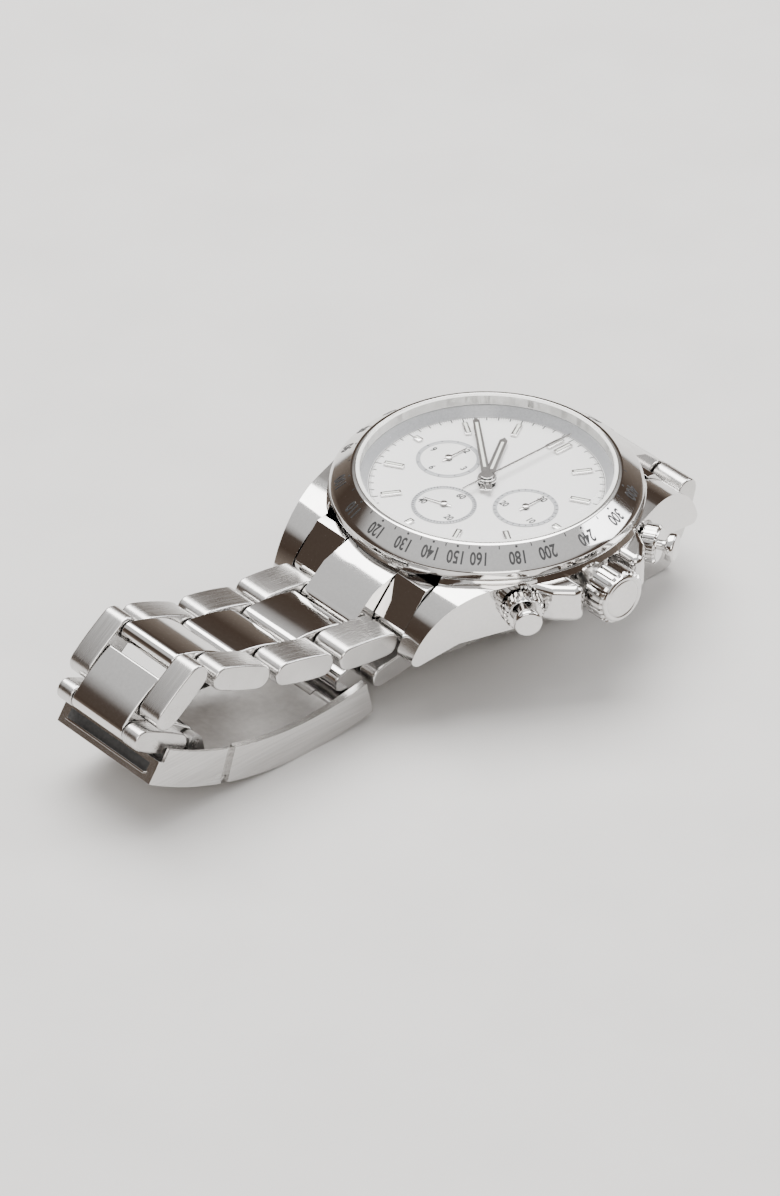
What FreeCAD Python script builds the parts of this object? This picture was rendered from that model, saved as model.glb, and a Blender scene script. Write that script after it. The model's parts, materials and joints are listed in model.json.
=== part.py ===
import FreeCAD, Part
import math
import os
from FreeCAD import Vector

# Steel chronograph wristwatch on its closed three-piece-link bracelet, lying on its clasp.
# Millimetres. +Z is up, +X points to 12 o'clock and -Y to 3 o'clock, where the crown is.
# The model is drawn about the head's axis and moved so that the origin is the middle of
# the footprint, on the surface that the watch lies on.

os.makedirs("parts", exist_ok=True)

# ---- driving dimensions ---------------------------------------------------------------
HEAD_X, HEAD_Y = 17.84, 2.4     # head's axis, from the middle of the footprint

# case, heights over the surface
BACK_Z, CASE_Z, CASE_TOP = 9.0, 10.8, 17.3
CASE_R, CASE_NOTCH_R, BORE_R = 19.7, 18.6, 16.4
LUG_IN, LUG_OUT, LUG_ROOT = 10.1, 12.6, 17.9   # a lug's inner face, and its flank at tip and case
BEZEL_R, BEZEL_IN_R, BEZEL_TOP = 19.25, 15.95, 20.75
CRYSTAL_R, CRYSTAL_Z, CRYSTAL_TOP = 15.5, 19.6, 21.6
DIAL_Z, DIAL_TOP = 17.7, 18.2
SUBDIAL_REACH, SUBDIAL_R = 7.0, 4.0
GUARD_Z, GUARD_TOP, GUARD_ROUND = 11.7, 16.6, 1.0   # crown guards
AXIS_Z = 14.05                   # height of the crown's and pushers' axes
CROWN_REACH = 24.5               # crown's outer face, from the head's axis
COLLAR_R = 2.45                  # pusher collars
PUSHER_ANGLE = 30.0              # each pusher's place, from the crown

# bracelet
PITCH = 9.8                      # pivot to pivot
PLATE_R, SLIM_PLATE_R = 1.7, 1.5  # half the thickness of an outer plate, and beside the clasp
TAIL_BACK = 3.75                 # from a plate's tail centre to the next pivot
CENTRE_R, CENTRE_START = 1.5, 2.7
CENTRE_HALF, KNUCKLE_HALF = 4.7, 4.55
PIN_R, RUNNING = 0.6, 0.05       # link pin, and radial clearance of a running bore
FIRST_PIVOT = (24.6, 11.0)       # first link's pivot at either end of the head, as x and z
BAR = (20.85, 11.0)              # spring bar between the lugs
DIRECTIONS_6 = (172, 165, 156, 218, -30)           # each 6 o'clock link's lie, in degrees
DIRECTIONS_12 = (-108.7, 179, 176, 170, 174, 188.2)
HALF_WIDTHS_6 = (9.8, 9.3, 8.8, 8.2, 7.3)
HALF_WIDTHS_12 = (9.8, 9.3, 8.8, 8.3, 7.8, 7.3)

# clasp: curved about one axis, so its parts are given by radius and angle
CLASP_X, CLASP_Z, CLASP_R = -36.0, 45.0, 45.0
COVER_IN_R, TONGUE_R, WALL_TOP_R = 43.7, 44.3, 40.3
CLASP_HALF, CLASP_INSIDE = 8.5, 7.5
COVER_END, SEAM, TONGUE_END, CATCH_END = 13.0, -16.6, -31.5, -33.5
BLADE_HALF, BLADE_PIN_R = 6.4, 0.4
OUTER_BLADE_R, INNER_BLADE_R = (43.6, 42.8), (42.7, 42.0)
COVER_HINGE = (-58.0, 8.17)      # cover to outer blade
BLADE_HINGE = (-30.5, 2.61)      # outer blade to inner blade
CATCH_HINGE = (44.5, -17.4)      # safety catch's pivot, as radius and angle

nodes = {}


# ---- helpers --------------------------------------------------------------------------
def turned(points):
    """Solid turned about the head's axis from a closed outline of (radius, height)."""
    wire = Part.makePolygon([Vector(r, 0, z) for r, z in points + points[:1]])
    return Part.Face(wire).revolve(Vector(), Vector(0, 0, 1), 360)


def cylinder(r, z0, z1, x=0.0, y=0.0):
    return Part.makeCylinder(r, z1 - z0, Vector(x, y, z0))


def ring(r_out, r_in, z0, z1, x=0.0, y=0.0):
    return cylinder(r_out, z0, z1, x, y).cut(cylinder(r_in, z0 - 1, z1 + 1, x, y))


def box(x0, x1, y0, y1, z0, z1):
    return Part.makeBox(x1 - x0, y1 - y0, z1 - z0, Vector(x0, y0, z0))


def rod(r, y0, y1, x, z):
    """Cylinder along Y."""
    return Part.makeCylinder(r, y1 - y0, Vector(x, y0, z), Vector(0, 1, 0))


def profile(edges, y0, y1):
    """Solid of a side outline, from edges in the XZ plane, between two Y planes."""
    face = Part.Face(Part.Wire(Part.__sortEdges__(edges)))
    face.translate(Vector(0, y0, 0))
    return face.extrude(Vector(0, y1 - y0, 0))


def line(a, b):
    return Part.LineSegment(Vector(a[0], 0, a[1]), Vector(b[0], 0, b[1])).toShape()


def arc(a, through, b):
    points = [Vector(p[0], 0, p[1]) for p in (a, through, b)]
    return Part.Arc(*points).toShape()


def polygon(points, y0, y1):
    return profile([line(a, b) for a, b in zip(points, points[1:] + points[:1])], y0, y1)


def along(point, direction, distance, side=0.0):
    """Point at a distance along a direction in degrees, and off to its left by side."""
    c, s = math.cos(math.radians(direction)), math.sin(math.radians(direction))
    return (point[0] + distance * c - side * s, point[1] + distance * s + side * c)


def bar_outline(a, direction, length, r, round_start=True):
    """Side outline of a bar with a round end, and a round or flat start."""
    b = along(a, direction, length)
    a_up, a_down = along(a, direction, 0, r), along(a, direction, 0, -r)
    b_up, b_down = along(b, direction, 0, r), along(b, direction, 0, -r)
    start = arc(a_down, along(a, direction, -r), a_up) if round_start else line(a_down, a_up)
    return [line(a_up, b_up), arc(b_up, along(b, direction, r), b_down), line(b_down, a_down), start]


def eased(solid, size, pick):
    """Fillet the edges for which pick(edge) is true; the solid stays plain if that fails."""
    edges = [e for e in solid.Edges if pick(e)]
    try:
        made = solid.makeFillet(size, edges)
        return made if made.isValid() and made.Volume > 0 else solid
    except Exception:
        return solid


def in_end_face(y):
    return lambda e: all(abs(v.Point.y - y) < 1e-6 for v in e.Vertexes)


def clasp_point(r, angle):
    a = math.radians(angle)
    return (CLASP_X + r * math.sin(a), CLASP_Z - r * math.cos(a))


def clasp_sheet(r_out, r_in, a0, a1, y0, y1):
    """Part of the clasp's curve between two radii, two angles and two Y planes."""
    mid = (a0 + a1) / 2
    outer = arc(clasp_point(r_out, a0), clasp_point(r_out, mid), clasp_point(r_out, a1))
    inner = arc(clasp_point(r_in, a0), clasp_point(r_in, mid), clasp_point(r_in, a1))
    ends = [line(clasp_point(r_out, a), clasp_point(r_in, a)) for a in (a0, a1)]
    return profile([outer, inner] + ends, y0, y1)


def both_sides(make, y0, y1):
    """The same piece between y0 and y1 on each side of the middle plane."""
    return [make(y0, y1), make(-y1, -y0)]


def fused(first, *others):
    return first.fuse(list(others)).removeSplitter()


def turned_to(shape, angle):
    """Turn a shape drawn along -Y about the head's axis, to its place from the crown."""
    return shape.rotate(Vector(), Vector(0, 0, 1), angle) or shape


def save(name, *solids):
    shape = Part.makeCompound(list(solids)) if len(solids) > 1 else solids[0]
    shape = shape.copy()
    shape.translate(Vector(HEAD_X, HEAD_Y, 0))
    nodes[name] = shape
    shape.exportStep("parts/" + name + ".step")


# ---- case -----------------------------------------------------------------------------
BAR_R, BAR_REACH = 0.75, 11.3        # spring bars between the lugs
BACK_FLANGE_R, BACK_FLANGE_TOP, BACK_SEAT_R = 17.6, 11.0, 17.65
TUBE_R, PUSHER_TUBE_R = 1.6, 1.2     # crown tube and pusher tubes, outside


def lug_side():
    """Side view of a lug: a long curve from the case's shoulder down to a blunt tip."""
    edges = [line((8, CASE_Z), (8, 17.1)), line((8, 17.1), (12.5, 17.1))]
    edges += [arc((12.5, 17.1), (19.9, 14.7), (23.45, 9.7)), arc((23.45, 9.7), (23.2, 8.9), (22.4, 8.75))]
    edges += [line((22.4, 8.75), (17.6, 10.5)), line((17.6, 10.5), (8, CASE_Z))]
    return profile(edges, LUG_IN, LUG_ROOT + 1)


def lug_plan():
    """Plan view of a lug: straight inside, and a flank that sweeps in from the case to the tip."""
    root, waist, tip = Vector(8, LUG_ROOT, 0), Vector(15.5, 15.3, 0), Vector(24, LUG_OUT, 0)
    inner_tip, inner_root = Vector(24, LUG_IN, 0), Vector(8, LUG_IN, 0)
    flank = Part.Arc(root, waist, tip).toShape()
    straight = Part.makePolygon([tip, inner_tip, inner_root, root])
    return Part.Face(Part.Wire([flank] + straight.Edges)).extrude(Vector(0, 0, 30))


def lugs():
    one = lug_side().common(lug_plan())
    along_x = [one, one.mirror(Vector(), Vector(1, 0, 0))]
    return along_x + [solid.mirror(Vector(), Vector(0, 1, 0)) for solid in along_x]


def crown_guard(end):
    """Rounded shoulder of the case on one side of the crown."""
    corners = [(10.0, -16.0), (7.6, -20.2), (5.6, -22.1), (3.9, -22.5), (3.9, -16.0)]
    wire = Part.makePolygon([Vector(x * end, y, GUARD_Z) for x, y in corners + corners[:1]])
    guard = Part.Face(wire).extrude(Vector(0, 0, GUARD_TOP - GUARD_Z))
    return eased(guard, GUARD_ROUND, lambda e: min(v.Point.y for v in e.Vertexes) < -17)


def mid_case():
    body = turned([(15.0, CASE_Z), (17.8, CASE_Z), (19.3, 11.9), (CASE_R, 13.2), (CASE_R, 16.6),
                   (19.3, CASE_TOP), (15.0, CASE_TOP)])
    for end in (1, -1):
        notch = box(0, 30, -LUG_IN, LUG_IN, 0, 30).cut(cylinder(CASE_NOTCH_R, -1, 31))
        body = body.cut(notch if end > 0 else notch.mirror(Vector(), Vector(1, 0, 0)))
    body = fused(body, *(lugs() + [crown_guard(1), crown_guard(-1)]))
    body = body.cut(cylinder(BORE_R, 0, 30)).cut(cylinder(BACK_SEAT_R, 0, BACK_FLANGE_TOP))
    for end in (1, -1):
        body = body.cut(rod(BAR_R, -BAR_REACH, BAR_REACH, BAR[0] * end, BAR[1]))
    body = body.cut(rod(TUBE_R, -26, -10, 0, AXIS_Z))
    for angle in (-PUSHER_ANGLE, PUSHER_ANGLE):
        body = body.cut(turned_to(rod(PUSHER_TUBE_R, -26, -10, 0, AXIS_Z), angle))
        body = body.cut(turned_to(rod(COLLAR_R + 0.3, -26, -19.75, 0, AXIS_Z), angle))
    return body


def case_back():
    disc = turned([(0, BACK_Z), (14.6, BACK_Z), (16.2, 9.8), (16.2, 10.6), (BACK_FLANGE_R, 10.6),
                   (BACK_FLANGE_R, BACK_FLANGE_TOP), (16.35, BACK_FLANGE_TOP), (16.35, 11.5), (15.6, 11.5),
                   (15.6, 10.5), (0, 10.5)])
    for k in range(6):
        slot = box(15.3, 17, -1.2, 1.2, 8, 9.9)
        disc = disc.cut(slot.rotate(Vector(), Vector(0, 0, 1), 60 * k + 30) or slot)
    return disc


save("mid_case", mid_case())
save("case_back", case_back())
save("case_back_gasket", ring(16.35, 15.7, 11.55, 12.0))
save("bezel", turned([(BEZEL_IN_R, CASE_TOP), (19.1, CASE_TOP), (BEZEL_R, 17.5), (BEZEL_R, 18.4),
                      (18.75, 18.95), (16.5, 20.7), (BEZEL_IN_R, BEZEL_TOP)]))
save("crystal", turned([(0, CRYSTAL_Z), (CRYSTAL_R, CRYSTAL_Z), (CRYSTAL_R, 21.1),
                        (15.0, CRYSTAL_TOP), (0, CRYSTAL_TOP)]))
save("crystal_gasket", ring(BEZEL_IN_R, CRYSTAL_R, 19.4, 20.7))
save("rehaut_ring", turned([(14.5, DIAL_TOP), (15.9, DIAL_TOP), (15.9, 19.35), (15.3, 19.35)]))

# ---- dial and hands -------------------------------------------------------------------
SUBDIALS = {"minute": (0, -SUBDIAL_REACH), "running": (-SUBDIAL_REACH, 0), "hour": (0, SUBDIAL_REACH)}


def dial():
    disc = cylinder(15.9, DIAL_Z, DIAL_TOP).cut(cylinder(1.1, 0, 30))
    for x, y in SUBDIALS.values():
        disc = disc.cut(cylinder(0.45, 0, 30, x, y))
    return disc


def hour_markers():
    batons = []
    for hour in range(12):
        beside_subdial = hour in (3, 6, 9)
        inner = 12.0 if beside_subdial else 10.6
        offsets = (-0.75, 0.75) if hour == 0 else (0.0,)
        for offset in offsets:
            baton = box(inner, 13.2, offset - 0.4, offset + 0.4, DIAL_TOP, DIAL_TOP + 0.35)
            baton = eased(baton, 0.12, lambda e: all(v.Point.z > DIAL_TOP + 0.3 for v in e.Vertexes))
            batons.append(baton.rotate(Vector(), Vector(0, 0, 1), -30 * hour) or baton)
    return batons


def hand(length, tail, width, z0, z1, hub_r, hole_r, angle, x=0.0, y=0.0):
    """Tapered baton hand; the angle runs counter-clockwise from 12 o'clock."""
    half = width / 2
    corners = [(-tail, half * 0.7), (0, half), (length - half, half * 0.8), (length, 0)]
    corners += [(a, -b) for a, b in reversed(corners[:-1])]
    wire = Part.makePolygon([Vector(a, b, z0) for a, b in corners + corners[:1]])
    blade = Part.Face(wire).extrude(Vector(0, 0, z1 - z0))
    shape = fused(blade, cylinder(hub_r, z0, z1)).cut(cylinder(hole_r, 0, 30))
    shape.rotate(Vector(), Vector(0, 0, 1), angle)
    shape.translate(Vector(x, y, 0))
    return shape


save("dial", dial())
save("subdial_rings", *[ring(SUBDIAL_R, SUBDIAL_R - 0.55, DIAL_TOP, DIAL_TOP + 0.1, x, y)
                        for x, y in SUBDIALS.values()])
save("hour_markers", *hour_markers())
HAND_Z = {"sub": 18.38, "hour": 18.62, "minute": 18.9, "chrono": 19.2}
save("hour_hand", hand(9.5, 2.2, 1.3, HAND_Z["hour"], HAND_Z["hour"] + 0.16, 1.3, 0.85, 34.5))
save("minute_hand", hand(13.2, 2.6, 1.1, HAND_Z["minute"], HAND_Z["minute"] + 0.16, 1.2, 0.5, 54.0),
     ring(0.78, 0.5, 16.9, HAND_Z["minute"]))
save("chrono_seconds_hand", hand(14.0, 4.0, 0.36, HAND_Z["chrono"], HAND_Z["chrono"] + 0.12, 0.9, 0.2, 0.0),
     cylinder(0.2, 12.9, HAND_Z["chrono"] + 0.12), cylinder(0.42, 14.2, 14.6).cut(cylinder(0.2, 14, 15)))
for name, place, angle in (("running_seconds_hand", "running", 110.0), ("minute_counter_hand", "minute", 0.0),
                           ("hour_counter_hand", "hour", 0.0)):
    x, y = SUBDIALS[place]
    save(name, hand(2.9, 1.0, 0.34, HAND_Z["sub"], HAND_Z["sub"] + 0.1, 0.45, 0.15, angle, x, y),
         cylinder(0.15, 15.0, HAND_Z["sub"] + 0.1, x, y))

# ---- movement -------------------------------------------------------------------------
PLATE_Z, PLATE_TOP = 15.9, 17.2
BARREL_AT, BALANCE_AT, THIRD_AT = (4.5, 8.6), (-7.4, 5.6), (-3.6, -4.4)
MOVEMENT_R = 14.1
COCK_ARM, COCK_ANGLE, BRIDGE_OPENING_R = 5.2, 233.0, 6.0


def main_plate():
    plate = cylinder(MOVEMENT_R, PLATE_Z, PLATE_TOP).cut(cylinder(1.35, 0, 30))
    for x, y in SUBDIALS.values():
        plate = plate.cut(cylinder(0.25, 0, 30, x, y))
    for x, y in (BARREL_AT, BALANCE_AT, THIRD_AT):
        plate = plate.cut(cylinder(0.35, 0, PLATE_Z + 0.6, x, y))
    return plate


def train_bridge():
    bridge = cylinder(12.9, 12.3, 12.8).cut(cylinder(BRIDGE_OPENING_R, 0, 30, *BALANCE_AT))
    posts = [cylinder(0.8, 12.8, PLATE_Z, 11.6 * math.cos(a), 11.6 * math.sin(a))
             for a in map(math.radians, (-35, 15, 225))]
    bridge = fused(bridge, *posts)
    for x, y in (BARREL_AT, THIRD_AT):
        bridge = bridge.cut(cylinder(0.35, 0, 13, x, y))
    return bridge.cut(cylinder(0.35, 0, 30))


def balance_cock():
    """Arm that holds the balance's staff, on a foot that stands on the main plate."""
    arm = box(0, COCK_ARM, -0.6, 0.6, 12.3, 12.8)
    foot = cylinder(0.6, 12.3, PLATE_Z, COCK_ARM, 0)
    cock = fused(arm, foot, cylinder(1.0, 12.3, 12.8))
    cock.rotate(Vector(), Vector(0, 0, 1), COCK_ANGLE)
    cock.translate(Vector(*BALANCE_AT, 0))
    return cock


def wheel(r, x, y, z0, z1, arbor_z0, arbor_z1, spokes=4):
    """Spoked wheel with its arbor, as two touching solids."""
    rim = ring(r, r - 0.6, z0, z1, x, y)
    arms = [box(0.2, r - 0.3, -0.25, 0.25, z0, z1) for _ in range(spokes)]
    placed = []
    for k, arm in enumerate(arms):
        arm.rotate(Vector(), Vector(0, 0, 1), 360 * k / spokes)
        arm.translate(Vector(x, y, 0))
        placed.append(arm)
    body = fused(rim, cylinder(0.9, z0, z1, x, y), *placed).cut(cylinder(0.3, 0, 30, x, y))
    return [body, cylinder(0.3, arbor_z0, arbor_z1, x, y)]


def rotor():
    half = box(-20, 20, -20, 0, 10, 13)
    weight = ring(13.6, 11.2, 11.1, 12.1).common(half)
    web = cylinder(11.4, 11.1, 11.5).common(half)
    return fused(weight, web, cylinder(2.4, 11.1, 11.7)).cut(cylinder(0.95, 0, 30))


holder = ring(16.3, 14.15, 12.1, CASE_TOP)
for angle in (0, -PUSHER_ANGLE, PUSHER_ANGLE):
    opening = turned_to(rod(1.5, -20, -10, 0, AXIS_Z), angle)
    holder = holder.cut(opening)
save("movement_holder", holder)
save("main_plate", main_plate())
save("train_bridge", train_bridge())
save("rotor_bearing", cylinder(0.9, 10.9, 12.3).cut(cylinder(0.35, 12.0, 13)))
save("rotor", rotor())
save("mainspring_barrel", *[cylinder(4.4, 13.2, 15.2, *BARREL_AT).cut(cylinder(0.3, 0, 30, *BARREL_AT)),
                            cylinder(0.3, 12.35, 16.4, *BARREL_AT)])
save("third_wheel", *wheel(3.0, *THIRD_AT, 13.2, 13.5, 12.35, 16.4))
save("balance_wheel", *wheel(4.4, *BALANCE_AT, 13.6, 14.1, 12.9, 16.4, spokes=2))
save("balance_cock", balance_cock())

# ---- crown and pushers ----------------------------------------------------------------
STEM_R = 0.55


def fluted(r, y0, y1, flutes, depth):
    """Knurled cylinder along Y on the crown's axis."""
    body = rod(r, y0, y1, 0, AXIS_Z)
    cutters = []
    for k in range(flutes):
        a = 2 * math.pi * k / flutes
        cutters.append(rod(depth, y0 - 1, y1 + 1, (r + 0.1) * math.cos(a), AXIS_Z + (r + 0.1) * math.sin(a)))
    return body.cut(Part.makeCompound(cutters))


def crown():
    cap = fluted(3.5, 0.3 - CROWN_REACH, 3.45 - CROWN_REACH, 24, 0.3)
    face = rod(3.0, -CROWN_REACH, 0.3 - CROWN_REACH, 0, AXIS_Z)
    body = fused(cap, face)
    body = body.cut(rod(TUBE_R + 0.1, 1.2 - CROWN_REACH, -18, 0, AXIS_Z))
    return body.cut(rod(STEM_R + RUNNING, 0.5 - CROWN_REACH, -18, 0, AXIS_Z))


save("crown_tube", rod(TUBE_R, 1.3 - CROWN_REACH, -16.6, 0, AXIS_Z).cut(rod(0.95, -30, -10, 0, AXIS_Z)))
save("winding_stem", rod(STEM_R, 0.8 - CROWN_REACH, -8.6, 0, AXIS_Z))
save("crown", crown())

pusher_tubes = []
for name, angle in (("start", PUSHER_ANGLE), ("reset", -PUSHER_ANGLE)):
    tube = rod(PUSHER_TUBE_R, -21.2, -16.6, 0, AXIS_Z).cut(rod(0.75, -30, -10, 0, AXIS_Z))
    pusher_tubes.append(turned_to(tube, angle))
    cap = fused(rod(1.75, -24.2, -23.0, 0, AXIS_Z), rod(0.65, -23.0, -15.4, 0, AXIS_Z))
    cap = eased(cap, 0.25, lambda e: all(v.Point.y < -24.1 for v in e.Vertexes))
    save(name + "_pusher", turned_to(cap, angle))
    collar = fluted(COLLAR_R, -22.0, -20.0, 20, 0.22).cut(rod(PUSHER_TUBE_R + 0.1, -21.35, -10, 0, AXIS_Z))
    save(name + "_pusher_collar", turned_to(collar.cut(rod(0.75, -30, -10, 0, AXIS_Z)), angle))
save("pusher_tubes", *pusher_tubes)


# ---- end links ------------------------------------------------------------------------
def end_link(end):
    outer = [(17.5, 16.4), (18.7, 16.2), (22.3, 12.0), BAR, (19.4, 10.0), (17.5, 10.1)]
    centre = [(17.5, 16.4), (22.3, 14.8), (25.3, 12.25), (24.6, 9.5), (17.5, 10.1)]
    knuckle = rod(CENTRE_R, -KNUCKLE_HALF, KNUCKLE_HALF, *FIRST_PIVOT)
    shape = fused(box(17.5, 19.6, -9.95, 9.95, 10.4, 15.0), polygon(centre, -KNUCKLE_HALF, KNUCKLE_HALF), knuckle)
    for part in both_sides(lambda a, b: fused(polygon(outer, a, b), rod(1.6, a, b, *BAR)), CENTRE_HALF, 9.95):
        shape = shape.fuse(part)
    shape = shape.removeSplitter().cut(cylinder(CASE_NOTCH_R + 0.05, 0, 30))
    shape = shape.cut(rod(BAR_R, -12, 12, *BAR)).cut(rod(PIN_R + RUNNING, -12, 12, *FIRST_PIVOT))
    return shape if end > 0 else shape.mirror(Vector(), Vector(1, 0, 0))


save("end_link_12", end_link(1))
save("end_link_6", end_link(-1))
save("lug_spring_bars", *[rod(BAR_R, -BAR_REACH, BAR_REACH, BAR[0] * end, BAR[1]) for end in (1, -1)])


# ---- bracelet -------------------------------------------------------------------------
def link(pivot, direction, half_width, plate_r, far_bore):
    """Two outer plates, a centre piece that reaches into the next link, and the pin."""
    tail = PITCH - TAIL_BACK
    next_pivot = along(pivot, direction, PITCH)

    def plate(y0, y1):
        solid = profile(bar_outline(pivot, direction, tail, plate_r), y0, y1)
        solid = eased(solid, 0.2, lambda e: in_end_face(y0)(e) or in_end_face(y1)(e))
        return solid.cut(rod(PIN_R, y0 - 1, y1 + 1, *pivot))

    start = along(pivot, direction, CENTRE_START)
    reach = bar_outline(start, direction, PITCH - CENTRE_START, CENTRE_R, False)
    block = bar_outline(start, direction, tail - CENTRE_START, CENTRE_R, False)
    block[1] = line(*[along(start, direction, tail - CENTRE_START, s) for s in (CENTRE_R, -CENTRE_R)])
    centre = fused(profile(reach, -KNUCKLE_HALF, KNUCKLE_HALF), profile(block, -CENTRE_HALF, CENTRE_HALF))
    centre = centre.cut(rod(far_bore, -6, 6, *next_pivot))
    pin = rod(PIN_R, -half_width + 0.5, half_width - 0.2, *pivot)
    return both_sides(plate, CENTRE_HALF, half_width) + [centre, pin], next_pivot


def chain(prefix, pivot, directions, half_widths, bar_end):
    """Links from the head to the clasp; the last may carry its own spring bar."""
    for k, (direction, half_width) in enumerate(zip(directions, half_widths), 1):
        last = k == len(directions)
        plate_r = SLIM_PLATE_R if last else PLATE_R
        bore = PIN_R if last and bar_end else PIN_R + RUNNING
        solids, pivot = link(pivot, direction, half_width, plate_r, bore)
        if last and bar_end:
            solids.append(rod(PIN_R, -CLASP_INSIDE + 0.15, CLASP_INSIDE - 0.15, *pivot))
        save(prefix + str(k), *solids)
        print(prefix + str(k), "far pivot", [round(v, 3) for v in pivot])
    return pivot


fold_end = chain("link_6_", (-FIRST_PIVOT[0], FIRST_PIVOT[1]), DIRECTIONS_6, HALF_WIDTHS_6, False)
chain("link_12_", FIRST_PIVOT, DIRECTIONS_12, HALF_WIDTHS_12, True)


# ---- clasp ----------------------------------------------------------------------------
def clasp_cover():
    shape = clasp_sheet(CLASP_R, COVER_IN_R, SEAM, COVER_END, -CLASP_HALF, CLASP_HALF)
    tongue_half = CLASP_INSIDE + 0.4
    tongue = clasp_sheet(TONGUE_R, COVER_IN_R, TONGUE_END, SEAM, -tongue_half, tongue_half)
    walls = both_sides(lambda a, b: clasp_sheet(CLASP_R, WALL_TOP_R, SEAM, COVER_END, a, b),
                       CLASP_INSIDE, CLASP_HALF)
    walls += both_sides(lambda a, b: clasp_sheet(TONGUE_R, WALL_TOP_R + 0.3, TONGUE_END, SEAM, a, b),
                        CLASP_INSIDE, tongue_half)
    pivot = clasp_point(*CATCH_HINGE)
    groove = rod(0.62, -CATCH_KNUCKLE - 0.1, CATCH_KNUCKLE + 0.1, *pivot)
    ears = both_sides(lambda a, b: rod(0.5, a, b, *pivot), CATCH_KNUCKLE + 0.1, tongue_half)
    shape = fused(shape, tongue, *(walls + ears)).cut(groove)
    shape = shape.cut(rod(CATCH_PIN_R, -8.6, 8.6, *pivot)).cut(rod(BLADE_PIN_R, -9, 9, *COVER_HINGE))
    return shape


def safety_catch():
    pivot = clasp_point(*CATCH_HINGE)
    a1 = CATCH_HINGE[1]
    shape = clasp_sheet(CLASP_R, TONGUE_R + 0.1, CATCH_END, a1, -CLASP_HALF, CLASP_HALF)
    shape = shape.cut(fused(*both_sides(lambda a, b: rod(0.62, a, b, *pivot), CATCH_KNUCKLE, CLASP_HALF + 1)))
    walls = both_sides(lambda a, b: clasp_sheet(CLASP_R, WALL_TOP_R, CATCH_END + 1.2, a1 - 0.9, a, b),
                       CLASP_INSIDE + 0.5, CLASP_HALF)
    lip = clasp_sheet(CLASP_R, 42.0, CATCH_END, TONGUE_END - 0.3, -CLASP_HALF, CLASP_HALF)
    shape = fused(shape, lip, rod(0.5, -CATCH_KNUCKLE, CATCH_KNUCKLE, *pivot), *walls)
    return shape.cut(rod(CATCH_PIN_R + RUNNING, -CATCH_KNUCKLE - 1, CATCH_KNUCKLE + 1, *pivot))


def outer_blade():
    r_out, r_in = OUTER_BLADE_R
    shape = clasp_sheet(r_out, r_in, -30.6, 7.2, -BLADE_HALF, BLADE_HALF)
    cuts = both_sides(lambda a, b: rod(1.05, a, b, *BLADE_HINGE), MIDDLE_KNUCKLE + 0.05, BLADE_HALF + 1)
    shape = shape.cut(fused(*cuts))
    shape = fused(shape, rod(0.7, -BLADE_HALF, BLADE_HALF, *COVER_HINGE),
                  rod(0.85, -MIDDLE_KNUCKLE, MIDDLE_KNUCKLE, *BLADE_HINGE))
    window = clasp_sheet(46, 40, -26, -4, -3.4, 3.4)
    return shape.cut(window).cut(rod(BLADE_PIN_R + RUNNING, -9, 9, *COVER_HINGE)).cut(
        rod(BLADE_PIN_R, -9, 9, *BLADE_HINGE))


def inner_blade():
    r_out, r_in = INNER_BLADE_R
    shape = clasp_sheet(r_out, r_in, END_PIN_ANGLE - 0.8, 7.2, -BLADE_HALF, BLADE_HALF)
    shape = shape.cut(rod(1.05, -MIDDLE_KNUCKLE - 0.15, MIDDLE_KNUCKLE + 0.15, *BLADE_HINGE))
    knuckles = both_sides(lambda a, b: rod(0.85, a, b, *BLADE_HINGE), MIDDLE_KNUCKLE + 0.15, BLADE_HALF)
    foot = clasp_point(41.5, END_PIN_ANGLE)
    rise = math.degrees(math.atan2(foot[1] - fold_end[1], foot[0] - fold_end[0]))
    length = math.dist(foot, fold_end)
    ears = both_sides(lambda a, b: profile(bar_outline(fold_end, rise, length, 1.1), a, b),
                      CENTRE_HALF + 0.1, BLADE_HALF)
    shape = fused(shape, *(knuckles + ears))
    return shape.cut(rod(BLADE_PIN_R + RUNNING, -9, 9, *BLADE_HINGE)).cut(rod(PIN_R, -9, 9, *fold_end))


CATCH_KNUCKLE, CATCH_PIN_R, MIDDLE_KNUCKLE = 5.0, 0.3, 3.0
END_PIN_ANGLE = math.degrees(math.asin((fold_end[0] - CLASP_X) / 42.35))

save("clasp_cover", clasp_cover())
save("cover_hinge_pin", rod(BLADE_PIN_R, -CLASP_INSIDE - 0.4, CLASP_INSIDE + 0.4, *COVER_HINGE))
save("catch_hinge_pin", rod(CATCH_PIN_R, -7.9, 7.9, *clasp_point(*CATCH_HINGE)))
save("safety_catch", safety_catch())
save("outer_blade", outer_blade())
save("blade_hinge_pin", rod(BLADE_PIN_R, -BLADE_HALF, BLADE_HALF, *BLADE_HINGE))
save("inner_blade", inner_blade())
save("bracelet_end_pin", rod(PIN_R, -BLADE_HALF, BLADE_HALF, *fold_end))

whole = Part.makeCompound(list(nodes.values())).BoundBox
print(len(nodes), "nodes; X %.2f..%.2f Y %.2f..%.2f Z %.2f..%.2f" % (
    whole.XMin, whole.XMax, whole.YMin, whole.YMax, whole.ZMin, whole.ZMax))
for node, shape in nodes.items():
    bad = [s for s in shape.Solids if not s.isValid()]
    if bad or not shape.Solids:
        print("INVALID", node, len(shape.Solids))
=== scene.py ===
import json
import math

import bmesh
import bpy
from mathutils import Matrix, Vector


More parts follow.
